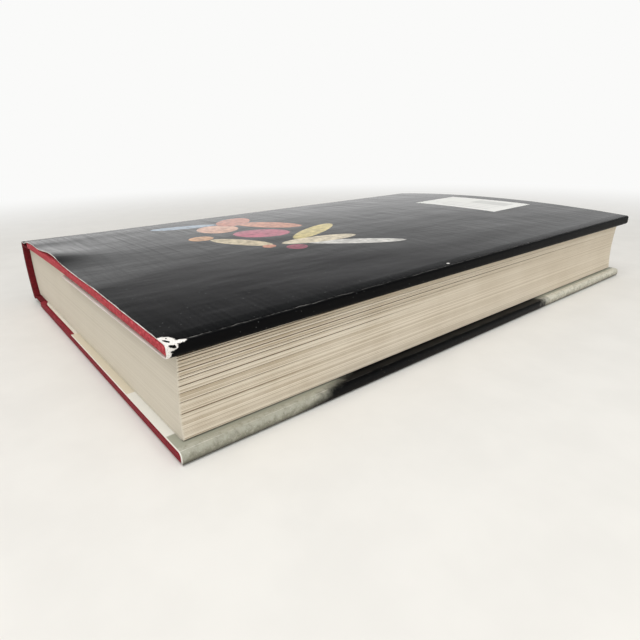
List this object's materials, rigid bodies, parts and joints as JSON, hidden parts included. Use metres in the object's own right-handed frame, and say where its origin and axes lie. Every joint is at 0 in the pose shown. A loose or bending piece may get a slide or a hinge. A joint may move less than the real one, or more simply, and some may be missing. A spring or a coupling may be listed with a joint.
{
  "type": "hardback book",
  "caption": "Hardback book lying face down in a worn laminated paper jacket, with red cloth boards, a rounded back and a warped back cover",
  "frame": {"origin": "middle of the book's footprint on the table, at the outer face of the front cover", "axes": "+X from the fore-edge to the spine, +Y from the tail to the head, +Z from the front cover up to the back cover"},
  "size_m": [0.1642, 0.24, 0.034],
  "materials": {
    "pages": "matte",
    "endpaper": "matte",
    "lining": "matte",
    "card": "matte",
    "board": "matte",
    "cloth": "matte",
    "jacket": "gloss",
    "jacket_print": "gloss"
  },
  "bodies": {
    "book_block": {"text_block": "pages", "front_endpaper": "endpaper", "back_endpaper": "endpaper", "spine_lining": "lining", "spine_inlay": "card", "spine_cloth": "cloth", "jacket_spine": "jacket"},
    "front_cover": {"front_board": "board", "front_cloth": "cloth", "front_pastedown": "endpaper", "jacket_front": "jacket_print"},
    "back_cover": {"back_board": "board", "back_cloth": "cloth", "back_pastedown": "endpaper", "jacket_back": "jacket"}
  },
  "joints": [
    {"name": "front_cover_hinge", "type": "hinge", "parent": "book_block", "child": "front_cover", "pos_m": [0.0776, 0, 0.00365], "axis": [0, -1, 0], "range_deg": [0, 180]},
    {"name": "back_cover_hinge", "type": "hinge", "parent": "book_block", "child": "back_cover", "pos_m": [0.0776, 0, 0.02635], "axis": [0, 1, 0], "range_deg": [0, 180]}
  ]
}
